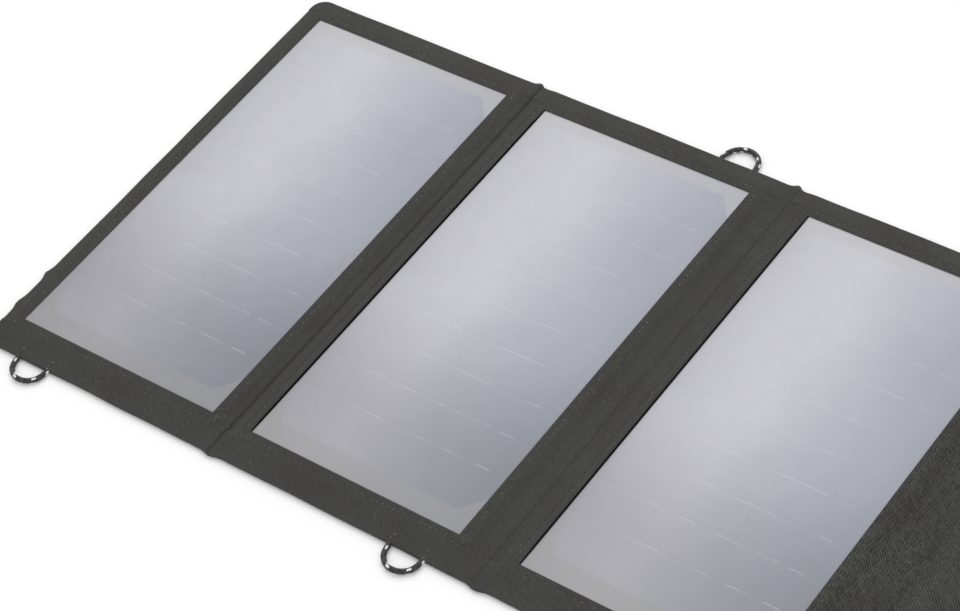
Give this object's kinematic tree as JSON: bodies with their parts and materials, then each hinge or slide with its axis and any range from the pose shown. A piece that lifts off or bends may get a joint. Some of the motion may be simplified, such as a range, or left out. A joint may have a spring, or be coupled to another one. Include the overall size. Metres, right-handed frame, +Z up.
{
  "type": "folding solar panel",
  "caption": "Fabric folding solar charger, opened flat: framed solar laminates in a row joined by fabric folds, cord loops on the hems and a flapped pouch holding a charge controller.",
  "frame": {"origin": "middle of the underside of the opened charger, without its cord loops", "axes": "+X along the row of sections towards the pouch, +Y towards the back hem, where the leads run, +Z up from the resting surface to the solar faces"},
  "size_m": [0.612, 0.2986, 0.0179],
  "materials": {
    "cover_fabric": "matte woven polyester",
    "solar_film": "satin embossed film",
    "silicon_cell": "dark blue silicon",
    "tinned_ribbon": "tinned copper",
    "backing_board": "glass-fibre board",
    "circuit_board": "solder mask",
    "foam_padding": "closed-cell foam",
    "chip_plastic": "moulded epoxy",
    "lead_insulation": "silicone",
    "stiffener_board": "polypropylene sheet",
    "hook_and_loop": "napped nylon",
    "loop_cord": "braided, with reflective flecks",
    "controller_case": "fine moulded texture",
    "plated_steel": "nickel plated",
    "socket_plastic": "moulded",
    "ferrite": "pressed ferrite",
    "capacitor_can": "brushed can",
    "clear_plastic": "clear moulded",
    "grommet_rubber": "moulded rubber"
  },
  "bodies": {
    "base": {"base_back_cover": "cover_fabric", "base_front_cover": "cover_fabric", "base_hem": "cover_fabric", "base_leads": "lead_insulation", "base_loop_back": "loop_cord", "base_loop_front": "loop_cord", "base_stiffener": "stiffener_board", "controller_base": "controller_case", "controller_capacitors": "capacitor_can", "controller_chips": "chip_plastic", "controller_circuit_board": "circuit_board", "controller_grommet": "grommet_rubber", "controller_inductor": "ferrite", "controller_lid": "controller_case", "controller_light_pipe": "clear_plastic", "controller_screws": "plated_steel", "controller_status_lamp": "clear_plastic", "controller_usb_shells": "plated_steel", "controller_usb_tongues": "socket_plastic", "pouch_loop_strip": "hook_and_loop", "pouch_shell": "cover_fabric"},
    "panel_3": {"panel_3_back_cover": "cover_fabric", "panel_3_backing": "backing_board", "panel_3_cells": "silicon_cell", "panel_3_diode": "chip_plastic", "panel_3_film": "solar_film", "panel_3_front_cover": "cover_fabric", "panel_3_hem": "cover_fabric", "panel_3_leads": "lead_insulation", "panel_3_padding": "foam_padding", "panel_3_ribbons": "tinned_ribbon", "panel_3_terminal_board": "circuit_board"},
    "panel_2": {"panel_2_back_cover": "cover_fabric", "panel_2_backing": "backing_board", "panel_2_cells": "silicon_cell", "panel_2_diode": "chip_plastic", "panel_2_film": "solar_film", "panel_2_front_cover": "cover_fabric", "panel_2_hem": "cover_fabric", "panel_2_leads": "lead_insulation", "panel_2_loop_back": "loop_cord", "panel_2_loop_front": "loop_cord", "panel_2_padding": "foam_padding", "panel_2_ribbons": "tinned_ribbon", "panel_2_terminal_board": "circuit_board"},
    "panel_1": {"panel_1_back_cover": "cover_fabric", "panel_1_backing": "backing_board", "panel_1_cells": "silicon_cell", "panel_1_diode": "chip_plastic", "panel_1_film": "solar_film", "panel_1_front_cover": "cover_fabric", "panel_1_hem": "cover_fabric", "panel_1_leads": "lead_insulation", "panel_1_loop_front": "loop_cord", "panel_1_padding": "foam_padding", "panel_1_ribbons": "tinned_ribbon", "panel_1_terminal_board": "circuit_board"},
    "flap": {"flap_hook_strip": "hook_and_loop", "pouch_flap": "cover_fabric"}
  },
  "joints": [
    {"name": "fold_3", "type": "hinge", "parent": "base", "child": "panel_3", "pos_m": [0.1555, 0, 0.0116], "axis": [0, 1, 0], "range_deg": [0, 180]},
    {"name": "fold_2", "type": "hinge", "parent": "panel_3", "child": "panel_2", "pos_m": [0, 0, -0.0005], "axis": [0, -1, 0], "range_deg": [0, 180]},
    {"name": "fold_1", "type": "hinge", "parent": "panel_2", "child": "panel_1", "pos_m": [-0.157, 0, 0.00515], "axis": [0, 1, 0], "range_deg": [0, 180]},
    {"name": "flap_hinge", "type": "hinge", "parent": "base", "child": "flap", "pos_m": [0.2385, 0.1126, 0.0164], "axis": [-1, 0, 0], "range_deg": [0, 180]}
  ]
}
